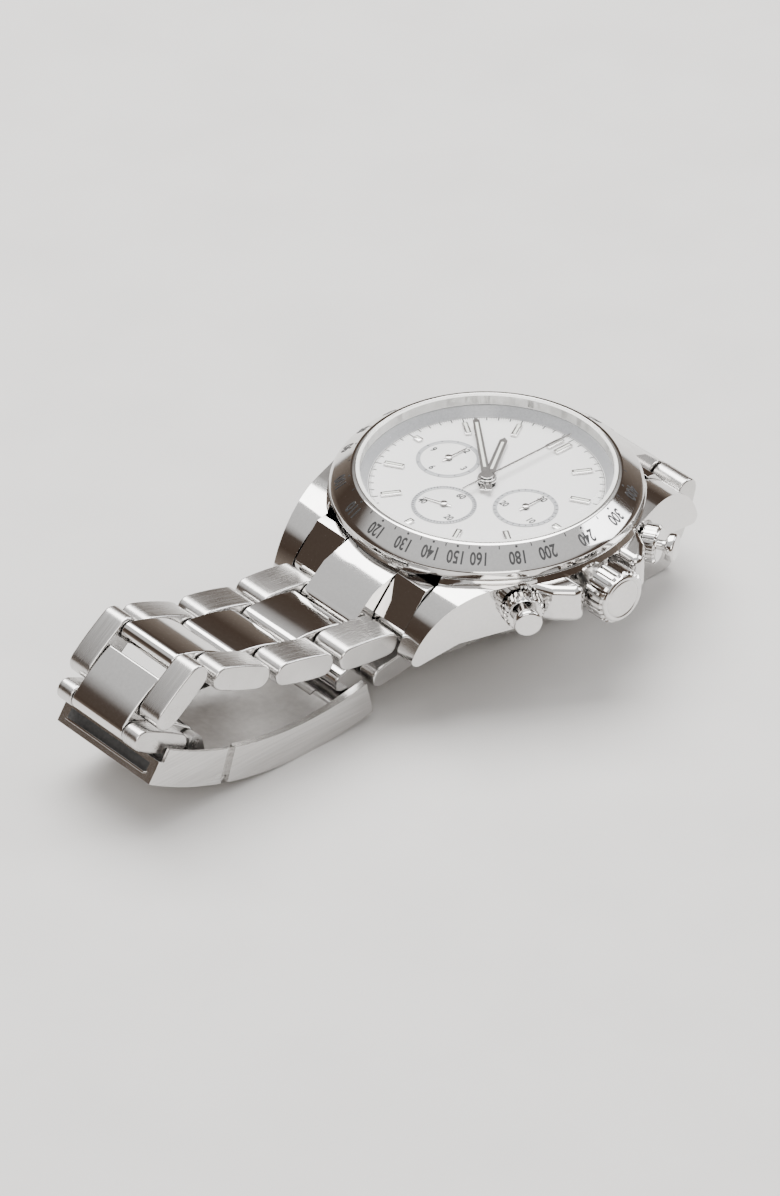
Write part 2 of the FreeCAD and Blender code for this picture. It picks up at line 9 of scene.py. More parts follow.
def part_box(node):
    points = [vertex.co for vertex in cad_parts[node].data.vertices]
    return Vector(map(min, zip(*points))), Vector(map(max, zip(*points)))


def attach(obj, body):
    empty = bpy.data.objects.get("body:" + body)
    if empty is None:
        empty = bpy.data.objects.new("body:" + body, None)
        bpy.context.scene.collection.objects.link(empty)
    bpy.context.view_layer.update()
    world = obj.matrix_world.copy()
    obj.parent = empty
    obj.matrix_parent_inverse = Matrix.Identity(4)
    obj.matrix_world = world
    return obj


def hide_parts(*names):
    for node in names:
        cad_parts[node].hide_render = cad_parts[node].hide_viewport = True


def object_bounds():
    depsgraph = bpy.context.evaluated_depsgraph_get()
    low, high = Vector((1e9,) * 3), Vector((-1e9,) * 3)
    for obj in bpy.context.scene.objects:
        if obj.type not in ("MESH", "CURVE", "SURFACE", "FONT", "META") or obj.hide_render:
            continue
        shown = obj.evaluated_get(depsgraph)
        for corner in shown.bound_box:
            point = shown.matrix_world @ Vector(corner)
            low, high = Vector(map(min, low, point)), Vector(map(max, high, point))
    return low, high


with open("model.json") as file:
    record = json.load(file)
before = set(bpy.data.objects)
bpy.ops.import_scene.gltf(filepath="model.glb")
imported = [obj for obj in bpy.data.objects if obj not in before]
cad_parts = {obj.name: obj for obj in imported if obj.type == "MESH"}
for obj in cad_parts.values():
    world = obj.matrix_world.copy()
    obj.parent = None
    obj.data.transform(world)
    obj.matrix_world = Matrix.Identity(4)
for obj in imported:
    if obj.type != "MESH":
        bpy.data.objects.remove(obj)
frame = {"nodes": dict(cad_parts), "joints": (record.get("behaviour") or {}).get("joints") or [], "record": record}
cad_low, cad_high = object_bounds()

# Looks of a steel chronograph on its link bracelet, lying on its folding clasp.
# Pieces are drawn in millimetres and scaled to metres when they are finished.
MM = 0.001


# ---- places read from the frame ---------------------------------------------------------
def box_mm(node):
    """A node's lowest and highest corner."""
    low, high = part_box(node)
    return low / MM, high / MM


def pivot_mm(joint_name):
    """A hinge's place in the side view, as (x, z)."""
    joint = next(j for j in frame["joints"] if j["name"] == joint_name)
    return Vector((joint["pos_m"][0], joint["pos_m"][2])) / MM


bezel_low, bezel_high = box_mm("bezel")
HEAD = (bezel_low + bezel_high) / 2
BEZEL_R = (bezel_high.x - bezel_low.x) / 2
GLASS_SEAT_R = (box_mm("crystal_gasket")[1].x - box_mm("crystal_gasket")[0].x) / 2
DIAL_TOP = box_mm("dial")[1].z

# ---- sizes shared with the solid parts, in millimetres ----------------------------------
SUBDIAL_REACH, SUBDIAL_RING_R, SUBDIAL_FLOOR_R = 7.0, 4.0, 3.45
SUBDIALS = {"minute": (0, -SUBDIAL_REACH), "running": (-SUBDIAL_REACH, 0), "hour": (0, SUBDIAL_REACH)}
PUSHER_ANGLE = 30.0
COLLAR_R, COLLAR_INNER, COLLAR_OUTER = 2.45, 20.0, 22.0        # from the head's axis outwards
CAP_R, CAP_INNER, CAP_OUTER, CAP_STEM_R = 1.75, 23.0, 24.2, 0.65
PITCH, TAIL, CENTRE_START = 9.8, 6.05, 2.7
PLATE_R, SLIM_PLATE_R, CENTRE_R, CENTRE_HALF, PLATE_INSIDE = 1.7, 1.5, 1.6, 4.55, 4.7
LAST_LINK_DIRECTION = 188.2
CATCH_REACH, CATCH_ANGLE, CATCH_END = 44.5, -17.4, -33.5       # from the clasp's axis of curvature
SLIT_HALF, SLIT_IN, SLIT_OUT = 7.2, 42.7, 43.9


# ---- finishes ---------------------------------------------------------------------------
class Value:
    """A shader socket that takes part in arithmetic."""

    def __init__(self, finish, socket):
        self.finish, self.socket = finish, socket

    def __add__(self, other):
        return self.finish.node("Math", {"operation": "ADD"}, {0: self, 1: other})

    def __sub__(self, other):
        return self.finish.node("Math", {"operation": "SUBTRACT"}, {0: self, 1: other})

    def __rsub__(self, other):
        return self.finish.node("Math", {"operation": "SUBTRACT"}, {0: other, 1: self})

    def __mul__(self, other):
        return self.finish.node("Math", {"operation": "MULTIPLY"}, {0: self, 1: other})

    __radd__, __rmul__ = __add__, __mul__


class Finish:
    """One material and the nodes that make it."""

    def __init__(self, name, tree=None):
        self.material = None if tree else bpy.data.materials.new(name)
        if self.material:
            self.material.use_nodes = True
        self.tree = tree or self.material.node_tree
        self.tree.nodes.clear()

    def node(self, kind, settings=None, inputs=None, output=0):
        """Add a node, with its settings first; returns the named output as a Value."""
        made = self.tree.nodes.new("ShaderNode" + kind)
        for key, value in (settings or {}).items():
            if key == "stops":
                self.set_stops(made.color_ramp, value)
            else:
                setattr(made, key, value)
        for key, value in (inputs or {}).items():
            if isinstance(value, Value):
                self.tree.links.new(value.socket, made.inputs[key])
            else:
                made.inputs[key].default_value = value
        return Value(self, made.outputs[output]) if len(made.outputs) else None

    @staticmethod
    def set_stops(ramp, stops):
        while len(ramp.elements) < len(stops):
            ramp.elements.new(0.5)
        for element, (place, colour) in zip(ramp.elements, stops):
            element.position = place
            element.color = rgb(*colour)

    def place(self):
        """Where a point of the surface lies, in metres."""
        return self.node("TexCoord", {}, {}, "Object")

    def noise(self, scale, detail=3.0, stretch=(1, 1, 1)):
        mapped = self.node("Mapping", {}, {"Vector": self.place(), "Scale": stretch})
        return self.node("TexNoise", {}, {"Vector": mapped, "Scale": scale, "Detail": detail}, "Fac")

    def blend(self, first, second, factor):
        """Mix two colours."""
        return self.node("Mix", {"data_type": "RGBA"}, {0: factor, 6: first, 7: second}, 2)

    def between(self, value, low, high):
        """Nought below low, one above high."""
        return self.node("MapRange", {}, {"Value": value, "From Min": low, "From Max": high})

    def bump(self, height, distance):
        inputs = {"Height": height, "Distance": distance}
        return self.node("Bump", {}, inputs, "Normal")

    def surface(self, **sockets):
        """Finish off with a principled shader; base_color=... sets its Base Color, and so on."""
        names = {key.replace("_", " ").title(): value for key, value in sockets.items()}
        shader = self.node("BsdfPrincipled", {}, names)
        self.node("OutputMaterial", {}, {"Surface": shader})
        return self.material


def rgb(r, g, b):
    return (r, g, b, 1.0)


EDGE_START, EDGE_FULL, EDGE_HIGHLIGHT_GAIN = 0.52, 0.62, 1.12      # how pointed an edge must be to show wear and carry a painted highlight, and that highlight's gain
WIPE_SCALE, GRAIN_DETAIL = 130.0, 4.0
GRAIN_ROUGHENS, WIPES_ROUGHEN, BASE_SHARE, WEAR_SMOOTHS = 0.35, 0.5, 0.58, 0.3


def steel(name, tint, dull, roughness, grain, grain_depth, shine_at_edges):
    """Steel with a drawn or polished grain, faint wipe marks, and sharp edges made smoother by wear and painted
    brighter as a highlight.
    """
    made = Finish(name)
    lines = made.noise(1.0, GRAIN_DETAIL, grain)
    wipes = made.noise(WIPE_SCALE)
    # Mask of sharp edges: it smooths them as wear does, and paints them brighter as a highlight.
    edge_wear_and_highlight = made.between(made.node("NewGeometry", {}, {}, "Pointiness"), EDGE_START, EDGE_FULL)
    shade = made.blend(rgb(*dull), rgb(*tint), made.between(lines, 0.3, 0.7))
    # Painted highlight: sharp edges lightened towards a brighter tint.
    colour = made.blend(shade, rgb(*(min(1.0, c * EDGE_HIGHLIGHT_GAIN) for c in tint)), edge_wear_and_highlight * shine_at_edges)
    rough = (lines * (GRAIN_ROUGHENS * roughness) + wipes * (WIPES_ROUGHEN * roughness)
             + (BASE_SHARE - edge_wear_and_highlight * WEAR_SMOOTHS) * roughness)
    return made.surface(base_color=colour, metallic=1.0, roughness=rough,
                        normal=made.bump(lines, grain_depth))


def lacquer(name, tint, shade, roughness, coat, grain_scale, grain_depth):
    """Paint, lacquer or rubber: two near tones mixed by a fine grain, under a clear coat or none."""
    made = Finish(name)
    grain = made.noise(grain_scale)
    colour = made.blend(rgb(*shade), rgb(*tint), made.between(grain, 0.3, 0.6))
    return made.surface(base_color=colour, roughness=grain * 0.1 + roughness, coat_weight=coat,
                        coat_roughness=0.05, normal=made.bump(grain, grain_depth))


def clear_sapphire():
    """Reflects by angle and lets the rest through, with faint wipe marks."""
    made = Finish("clear_sapphire")
    grazing = made.node("LayerWeight", {}, {"Blend": 0.5}, "Facing")
    squared = grazing * grazing
    wipes = made.noise(90.0)
    return made.surface(base_color=rgb(0.97, 0.98, 1.0), metallic=1.0, roughness=wipes * 0.03,
                        alpha=squared * squared * 0.3 + 0.012)


def turned_rings(name, tint, shade, spacing):
    """Fine concentric grooves about the head's axis, as a lathe leaves them."""
    made = Finish(name)
    to_axis = (-HEAD.x * MM, -HEAD.y * MM, 0)
    mapped = made.node("Mapping", {}, {"Vector": made.place(), "Location": to_axis})
    flat = made.node("VectorMath", {"operation": "MULTIPLY"}, {0: mapped, 1: (1, 1, 0)})
    reach = made.node("VectorMath", {"operation": "LENGTH"}, {0: flat}, "Value")
    wave = made.node("Math", {"operation": "SINE"}, {0: reach * (2 * math.pi / spacing)})
    smears = made.noise(300.0)
    colour = made.blend(rgb(*shade), rgb(*tint), smears * 0.5 + wave * 0.25 + 0.25)
    return made.surface(base_color=colour, metallic=1.0, roughness=smears * 0.2 + 0.18,
                        normal=made.bump(wave, 0.000004))


def striped(name, tint, shade, spacing):
    """Broad parallel polishing stripes on a plated plate."""
    made = Finish(name)
    across = made.node("SeparateXYZ", {}, {0: made.place()}, "X")
    wave = made.node("Math", {"operation": "SINE"}, {0: across * (2 * math.pi / spacing)})
    grain = made.noise(1.0, 3.0, (9000, 500, 500))
    colour = made.blend(rgb(*shade), rgb(*tint), wave * 0.4 + grain * 0.3 + 0.3)
    return made.surface(base_color=colour, metallic=1.0, roughness=grain * 0.2 + 0.2,
                        normal=made.bump(wave * 0.5 + grain, 0.000006))


BRIGHT, SATIN, GREYED = (0.74, 0.73, 0.72), (0.68, 0.67, 0.66), (0.58, 0.57, 0.56)
polished = steel("polished_steel", BRIGHT, (0.69, 0.68, 0.67), 0.085, (2600, 2600, 2600), 0.0000006, 0.5)
brushed_long = steel("brushed_lengthwise", SATIN, (0.52, 0.51, 0.50), 0.27,
                     (180, 9000, 180), 0.000003, 0.8)
brushed_sides = steel("brushed_clasp", SATIN, (0.50, 0.49, 0.48), 0.25, (160, 5000, 5000), 0.000002, 0.8)
plain = steel("turned_steel", GREYED, (0.48, 0.47, 0.46), 0.42, (1200, 1200, 1200), 0.0000005, 0.5)
sapphire = clear_sapphire()
white_rubber = lacquer("white_gasket", (0.9, 0.9, 0.88), (0.84, 0.84, 0.82), 0.4, 0.0, 2500.0, 0.000004)
# Black rubber for the gaskets; the same finish is also used for the painted shade in the safety catch's gap.
black_rubber_and_slit_shade = lacquer("black_gasket_and_slit_shade", (0.05, 0.05, 0.05), (0.03, 0.03, 0.03), 0.5, 0.0, 2500.0, 0.000006)
dial_lacquer = lacquer("dial_lacquer", (0.97, 0.968, 0.965), (0.94, 0.935, 0.93), 0.18, 0.6,
                       3500.0, 0.000001)
black_paint = lacquer("black_fill", (0.02, 0.02, 0.022), (0.035, 0.035, 0.035), 0.35, 0.0,
                      5000.0, 0.000002)
lume = lacquer("luminous_paint", (0.86, 0.88, 0.82), (0.80, 0.83, 0.76), 0.5, 0.0, 6000.0, 0.000006)
ring_silver = lacquer("ring_silver", (0.44, 0.45, 0.47), (0.36, 0.37, 0.39), 0.25, 0.3, 4500.0, 0.000002)
bridge_nickel = striped("striped_nickel", (0.80, 0.78, 0.74), (0.62, 0.60, 0.57), 0.0014)
gilt = turned_rings("gilt_brass", (0.85, 0.68, 0.36), (0.66, 0.50, 0.22), 0.0002)
rotor_grain = turned_rings("rotor_grain", (0.74, 0.72, 0.69), (0.55, 0.53, 0.50), 0.00025)
SLOT_FINISHES = {
    "brushed_steel": brushed_long, "polished_steel": polished, "plain_steel": plain, "sapphire": sapphire,
    "white_gasket": white_rubber, "dark_gasket": black_rubber_and_slit_shade, "dial_white": dial_lacquer,
    "dial_silver": ring_silver, "movement_nickel": bridge_nickel, "movement_brass": gilt,
    "rotor_steel": rotor_grain}
SLOT_OF = {part["node"]: part["material_slot"] for part in frame["record"]["subparts"]}


# ---- mesh helpers -----------------------------------------------------------------------
def corners(made):
    """The vertices among an operator's results."""
    return [g for g in made["geom"] if isinstance(g, bmesh.types.BMVert)]


def moved(bm, x=0.0, y=0.0, z=0.0):
    bmesh.ops.translate(bm, verts=bm.verts, vec=(x, y, z))
    return bm


def turned_by(bm, degrees, axis="Z"):
    """Turned about an axis through the origin."""
    turn = Matrix.Rotation(math.radians(degrees), 3, axis)
    bmesh.ops.rotate(bm, verts=bm.verts, cent=(0, 0, 0), matrix=turn)
    return bm


def joined(*parts):
    """One mesh from several; the parts are used up."""
    whole = bmesh.new()
    for part in parts:
        holder = bpy.data.meshes.new("part")
        part.to_mesh(holder)
        part.free()
        whole.from_mesh(holder)
        bpy.data.meshes.remove(holder)
    return whole


def soften(bm, width, segments=3, sharper_than=32):
    """Round every edge sharper than an angle."""
    bm.normal_update()
    limit = math.radians(sharper_than)
    edges = [e for e in bm.edges if e.is_manifold and e.calc_face_angle(0) > limit]
    bmesh.ops.bevel(bm, geom=edges, offset=width, offset_type="OFFSET", segments=segments, profile=0.5,
                    affect="EDGES", material=-1, clamp_overlap=True, loop_slide=True)
    return bm


def lathe(outline, steps=160, closed=True):
    """Turned about Z from (radius, height) points; an open outline starts and ends on the axis."""
    bm = bmesh.new()
    verts = [bm.verts.new((r, 0, z)) for r, z in outline]
    edges = [bm.edges.new(pair) for pair in zip(verts, verts[1:])]
    if closed:
        edges.append(bm.edges.new((verts[-1], verts[0])))
    bmesh.ops.spin(bm, geom=verts + edges, cent=(0, 0, 0), axis=(0, 0, 1), angle=2 * math.pi,
                   steps=steps, use_merge=True)
    bmesh.ops.remove_doubles(bm, verts=bm.verts, dist=0.0005)
    return bm


def flat_ring(inner, outer, low, high, steps):
    """Ring about Z between two radii and two heights."""
    return lathe([(inner, low), (outer, low), (outer, high), (inner, high)], steps)


def slab(outline, low, high, upright=True):
    """Solid from a closed outline: (x, z) between two Y planes, or (x, y) between two heights."""
    bm = bmesh.new()
    corner = (lambda a, b: (a, low, b)) if upright else (lambda a, b: (a, b, low))
    face = bm.faces.new([bm.verts.new(corner(*point)) for point in outline])
    made = bmesh.ops.extrude_face_region(bm, geom=[face])
    rise = (0, high - low, 0) if upright else (0, 0, high - low)
    bmesh.ops.translate(bm, verts=corners(made), vec=rise)
    bmesh.ops.recalc_face_normals(bm, faces=bm.faces)
    return bm


def disc(radius, thickness, steps):
    """Round plate about the origin, its axis along Z."""
    bm = bmesh.new()
    bmesh.ops.create_cone(bm, cap_ends=True, segments=steps, radius1=radius, radius2=radius,
                          depth=thickness)
    return bm


def drum(radius, low, high, steps):
    """Round bar along Y."""
    bar = turned_by(disc(radius, high - low, steps), 90, "X")
    return moved(bar, y=(low + high) / 2)


def block(x0, x1, y0, y1, z0, z1):
    """Straight bar between three pairs of planes."""
    bm = bmesh.new()
    bmesh.ops.create_cube(bm, size=1.0)
    bmesh.ops.scale(bm, vec=(x1 - x0, y1 - y0, z1 - z0), verts=bm.verts)
    return moved(bm, (x0 + x1) / 2, (y0 + y1) / 2, (z0 + z1) / 2)


POINTS_A_TOOTH, POINTS_A_GROOVE = 6, 2


def knurled(radius, depth, teeth, low, high, end_ease):
    """Fluted drum along Y with eased ends."""
    bm = bmesh.new()
    made = bmesh.ops.create_circle(bm, cap_ends=True, radius=radius, segments=teeth * POINTS_A_TOOTH)
    for place, vert in enumerate(made["verts"]):
        if place % POINTS_A_TOOTH < POINTS_A_GROOVE:
            vert.co *= (radius - depth) / radius
    rise, eased, top = high - low, 1 - end_ease / radius, bm.faces[:][0]
    for height, shrink in ((end_ease, 1.0), (rise - end_ease, 1.0), (rise, eased)):
        ring = bmesh.ops.extrude_face_region(bm, geom=[top])
        top = next(g for g in ring["geom"] if isinstance(g, bmesh.types.BMFace))
        level = top.verts[0].co.z
        bmesh.ops.translate(bm, verts=top.verts[:], vec=(0, 0, height - level))
        bmesh.ops.scale(bm, verts=top.verts[:], vec=(shrink, shrink, 1))
    base = [v for v in bm.verts if abs(v.co.z) < 1e-6]
    bmesh.ops.scale(bm, verts=base, vec=(eased, eased, 1))
    turned_by(bm, -90, "X")
    bmesh.ops.recalc_face_normals(bm, faces=bm.faces)
    return moved(bm, y=low)


CAPITAL_SHARE, BOLDNESS = 0.7, 0.035      # a figure's height in its font size, and added stroke


def lettering(text, height, narrow, depth):
    """One line of figures as a thin solid about the origin, tops towards +Y."""
    curve = bpy.data.curves.new("figures", "FONT")
    curve.body, curve.align_x, curve.align_y = text, "CENTER", "CENTER"
    curve.size, curve.extrude, curve.resolution_u = height / CAPITAL_SHARE, depth / 2, 3
    curve.offset = height * BOLDNESS
    holder = bpy.data.objects.new("figures", curve)
    mesh = bpy.data.meshes.new_from_object(holder)
    bm = bmesh.new()
    bm.from_mesh(mesh)
    bmesh.ops.remove_doubles(bm, verts=bm.verts, dist=0.0001)
    bmesh.ops.scale(bm, verts=bm.verts, vec=(narrow, 1, 1))
    bpy.data.objects.remove(holder)
    bpy.data.curves.remove(curve)
    bpy.data.meshes.remove(mesh)
    return bm


def piece(bm, name, finish, body, stands_for=(), crease=34):
    """Finish a mesh drawn in millimetres as one object that rides a body."""
    bmesh.ops.scale(bm, vec=(MM, MM, MM), verts=bm.verts)
    bmesh.ops.recalc_face_normals(bm, faces=bm.faces)
    mesh = bpy.data.meshes.new(name)
    bm.to_mesh(mesh)
    bm.free()
    mesh.shade_smooth()
    mesh.set_sharp_from_angle(angle=math.radians(crease))
    made = bpy.data.objects.new(name, mesh)
    bpy.context.scene.collection.objects.link(made)
    mesh.materials.append(finish)
    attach(made, body)
    if stands_for:
        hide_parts(*stands_for)
    weights = made.modifiers.new("flat_faces", "WEIGHTED_NORMAL")
    weights.keep_sharp = True


def on_head(bm):
    """Moved from about the origin to about the head's axis."""
    return moved(bm, HEAD.x, HEAD.y)


def eased_copy(node, name, finish, width, body):
    """A CAD node's shape with its corners rounded as a polisher leaves them."""
    bm = bmesh.new()
    bm.from_mesh(frame["nodes"][node].data)
    bmesh.ops.scale(bm, vec=(1 / MM,) * 3, verts=bm.verts)
    bmesh.ops.remove_doubles(bm, verts=bm.verts, dist=0.002)
    bmesh.ops.dissolve_limit(bm, angle_limit=math.radians(1.0), verts=bm.verts, edges=bm.edges)
    bmesh.ops.recalc_face_normals(bm, faces=bm.faces)
    soften(bm, width, 2, 28)
    piece(bm, name, finish, body, (node,))


# ---- bezel ------------------------------------------------------------------------------
SLOPE_OUT, SLOPE_IN = (BEZEL_R - 0.5, bezel_low.z + 1.65), (GLASS_SEAT_R + 0.55, bezel_high.z - 0.05)
SLOPE = math.atan2(SLOPE_IN[1] - SLOPE_OUT[1], SLOPE_OUT[0] - SLOPE_IN[0])
SPEEDS = (60, 65, 70, 75, 80, 85, 90, 100, 110, 120, 130, 140, 150, 160, 180, 200, 240, 300, 400)
HALF_STEPS = (95, 105, 115, 125, 135, 145, 155, 170, 190, 220, 270, 350, 500)
FIGURE_HEIGHT, FIGURE_NARROW, FIGURE_SHARE = 1.6, 0.66, 0.6     # share of the way down the slope
FILL_DEPTH, FILL_PROUD = 0.12, 0.02
DOT_R, TICK_HALF_WIDTH, TICK_HALF_LENGTH, MARK_SHARE = 0.16, 0.06, 0.22, 0.14
FOOT_IN, FOOT_RISE, FLANK_RISE, BEZEL_EASE = 0.15, 0.2, 1.1, 0.13


def on_slope(bm, angle, share):
    """Lay a flat drawing on the bezel's slope, clockwise from 12; share runs from inner to outer edge."""
    theta = math.radians(-angle)
    radius = SLOPE_IN[0] + share * (SLOPE_OUT[0] - SLOPE_IN[0])
    height = SLOPE_IN[1] + share * (SLOPE_OUT[1] - SLOPE_IN[1])
    outward = Vector((math.cos(theta), math.sin(theta), 0))
    across = Vector((math.sin(theta), -math.cos(theta), 0))
    down = outward * math.cos(SLOPE) - Vector((0, 0, math.sin(SLOPE)))
    normal = across.cross(down)
    centre = outward * radius + Vector((0, 0, height)) + normal * (FILL_PROUD - FILL_DEPTH / 2)
    placed = Matrix((across, down, normal)).transposed().to_4x4()
    placed.translation = centre
    bm.transform(placed)
    return on_head(bm)


def speed_angle(speed):
    """Where the seconds hand stands after the time that one unit takes at this speed."""
    return 360 * 60 / speed


def bezel():
    """Ring with a sloping face, and the speed scale filled in black."""
    low, high = bezel_low.z, bezel_high.z
    outline = [(GLASS_SEAT_R, low), (BEZEL_R - FOOT_IN, low), (BEZEL_R, low + FOOT_RISE),
               (BEZEL_R, low + FLANK_RISE), SLOPE_OUT, SLOPE_IN, (GLASS_SEAT_R, high)]
    ring = soften(lathe(outline, 200), BEZEL_EASE, 3, 20)
    piece(on_head(ring), "bezel_ring", polished, "head", ("bezel",))
    figures, marks = [], []
    for speed in SPEEDS:
        figure = lettering(str(speed), FIGURE_HEIGHT, FIGURE_NARROW, FILL_DEPTH)
        figures.append(on_slope(figure, speed_angle(speed), FIGURE_SHARE))
        marks.append(on_slope(disc(DOT_R, FILL_DEPTH, 12), speed_angle(speed), MARK_SHARE))
    piece(joined(*figures), "speed_figures", black_paint, "head")
    for speed in HALF_STEPS:
        tick = block(-TICK_HALF_WIDTH, TICK_HALF_WIDTH, -TICK_HALF_LENGTH, TICK_HALF_LENGTH,
                     -FILL_DEPTH / 2, FILL_DEPTH / 2)
        marks.append(on_slope(tick, speed_angle(speed), MARK_SHARE))
    piece(joined(*marks), "speed_marks", black_paint, "head")


# ---- dial -------------------------------------------------------------------------------
PRINT = 0.02          # height of printed lines over the dial
TRACK_IN, TRACK_LONG, TRACK_OUT = 13.75, 13.5, 14.35
TICK_WIDTH, FINE_TICK_WIDTH, FINE_TICK_LENGTH, TRACK_LINE = 0.16, 0.05, 0.3, 0.08


def printed_ticks(count, inner, outer, width, level, every=0, longer=0.0):
    """A circle of radial lines, with one in so many made longer."""
    ticks = []
    for k in range(count):
        start = inner - (longer if every and k % every == 0 else 0.0)
        tick = block(start, outer, -width / 2, width / 2, level, level + PRINT)
        ticks.append(turned_by(tick, 360 * k / count))
    return joined(*ticks)


def dial_print():
    """The minute track, with fifths of a second between its lines."""
    minutes = printed_ticks(60, TRACK_IN, TRACK_OUT, TICK_WIDTH, DIAL_TOP, 5, TRACK_IN - TRACK_LONG)
    fifths = printed_ticks(300, TRACK_OUT - FINE_TICK_LENGTH, TRACK_OUT, FINE_TICK_WIDTH, DIAL_TOP)
    track = joined(minutes, fifths)
    circle = flat_ring(TRACK_OUT, TRACK_OUT + TRACK_LINE, DIAL_TOP, DIAL_TOP + PRINT, 120)
    piece(on_head(joined(track, circle)), "minute_track", black_paint, "head")


SUBDIAL_FIGURES = {
    "minute": (("10", 120), ("20", 240), ("30", 0)), "running": (("20", 120), ("40", 240), ("60", 0)),
    "hour": (("3", 90), ("6", 180), ("9", 270), ("12", 0))}
SUBDIAL_TICKS = {"minute": (30, 5), "running": (60, 5), "hour": (12, 3)}      # count, and which are longer
FLOOR_IN, FLOOR_RISE, GROOVES, GROOVE_WIDTH, GROOVE_RISE = 0.5, 0.03, 14, 0.12, 0.025
RING_RISE, RING_EASE = 0.1, 0.04
SCALE_IN, SCALE_OUT, SCALE_TICK_WIDTH, SCALE_LONGER = 0.2, 0.07, 0.1, 0.13     # in from the ring's edges
COUNTER_FIGURE, COUNTER_NARROW, COUNTER_REACH, COUNTER_LIFT = 0.95, 0.8, 2.75, 0.03


def subdials():
    """Three counters, each with a grooved floor, a silver ring and a printed scale."""
    level, top = DIAL_TOP + FLOOR_RISE, DIAL_TOP + RING_RISE
    for name, (x, y) in SUBDIALS.items():
        grooves = []
        for k in range(GROOVES):
            r = FLOOR_IN + (SUBDIAL_FLOOR_R - FLOOR_IN) * k / GROOVES
            grooves += [(r, level), (r + GROOVE_WIDTH, level + GROOVE_RISE)]
        edge = [(SUBDIAL_FLOOR_R, level), (SUBDIAL_FLOOR_R, DIAL_TOP)]
        floor = moved(lathe([(FLOOR_IN, DIAL_TOP)] + grooves + edge, 72), x, y)
        piece(on_head(floor), name + "_subdial_floor", dial_lacquer, "head", crease=60)
        ring = soften(flat_ring(SUBDIAL_FLOOR_R, SUBDIAL_RING_R, DIAL_TOP, top, 96), RING_EASE, 2)
        piece(on_head(moved(ring, x, y)), name + "_subdial_ring", ring_silver, "head",
              ("subdial_rings",) if name == "minute" else ())
        count, every = SUBDIAL_TICKS[name]
        ticks = printed_ticks(count, SUBDIAL_FLOOR_R + SCALE_IN, SUBDIAL_RING_R - SCALE_OUT,
                              SCALE_TICK_WIDTH, top, every, SCALE_LONGER)
        figures = []
        for text, angle in SUBDIAL_FIGURES[name]:
            turn = math.radians(-angle)
            figure = turned_by(lettering(text, COUNTER_FIGURE, COUNTER_NARROW, PRINT), -90)
            figures.append(moved(figure, COUNTER_REACH * math.cos(turn), COUNTER_REACH * math.sin(turn),
                                 level + COUNTER_LIFT))
        piece(on_head(moved(joined(ticks, *figures), x, y)), name + "_subdial_scale", black_paint, "head")


MARKER_OUT, MARKER_IN, MARKER_IN_SHORT = 13.2, 10.6, 12.0
BATON_HALF, BATON_HEIGHT, BATON_EASE, TWELVE_OFFSET = 0.42, 0.34, 0.11, 0.75
LUME_HALF, LUME_IN, LUME_OUT, LUME_LOW, LUME_HIGH, LUME_EASE = 0.16, 0.25, 0.2, 0.3, 0.37, 0.03


def hour_markers():
    """A baton at every hour, two at 12 and short ones beside the counters."""
    frames, strips = [], []
    for hour in range(12):
        inner = MARKER_IN_SHORT if hour in (3, 6, 9) else MARKER_IN
        for offset in ((-TWELVE_OFFSET, TWELVE_OFFSET) if hour == 0 else (0.0,)):
            baton = block(inner, MARKER_OUT, offset - BATON_HALF, offset + BATON_HALF,
                          DIAL_TOP, DIAL_TOP + BATON_HEIGHT)
            frames.append(turned_by(soften(baton, BATON_EASE, 2), -30 * hour))
            strip = block(inner + LUME_IN, MARKER_OUT - LUME_OUT, offset - LUME_HALF, offset + LUME_HALF,
                          DIAL_TOP + LUME_LOW, DIAL_TOP + LUME_HIGH)
            strips.append(turned_by(soften(strip, LUME_EASE, 1), -30 * hour))
    piece(on_head(joined(*frames)), "hour_batons", polished, "head", ("hour_markers",))
    piece(on_head(joined(*strips)), "hour_baton_lume", lume, "head")


# ---- hands ------------------------------------------------------------------------------
HOUR_ANGLE, MINUTE_ANGLE, RUNNING_ANGLE = 34.5, 54.0, 110.0    # from 12 o'clock
HAND_DEPTH, CHRONO_DEPTH, SMALL_DEPTH = 0.16, 0.12, 0.1
TAIL_TAPER, TIP_TAPER, RIDGE_SHARE, HUB_LIFT, HUB_EASE = 0.7, 0.8, 0.4, 0.05, 0.04
LINE_START, LINE_HALF, LINE_RISE, FLAT_EASE = 2.4, 0.17, 0.03, 0.02


def baton_hand(length, tail, half, depth, top, hub_r, angle, place=(0, 0), ridge=True):
    """Tapered hand with a faceted top and a round hub, pointing along +X before it is turned."""
    low = top - depth
    rise = top - low
    outline = [(-tail, -half * TAIL_TAPER), (0, -half), (length - half, -half * TIP_TAPER), (length, 0),
               (length - half, half * TIP_TAPER), (0, half), (-tail, half * TAIL_TAPER)]
    blade = slab(outline, low, top, upright=False)
    soften(blade, rise * RIDGE_SHARE if ridge else FLAT_EASE, 2, 50)
    hub = turned_by(drum(hub_r, 0, rise + HUB_LIFT, 40), 90, "X")
    soften(moved(hub, z=top + HUB_LIFT), HUB_EASE, 2)
    hand = turned_by(joined(blade, hub), angle)
    return on_head(moved(hand, *place))


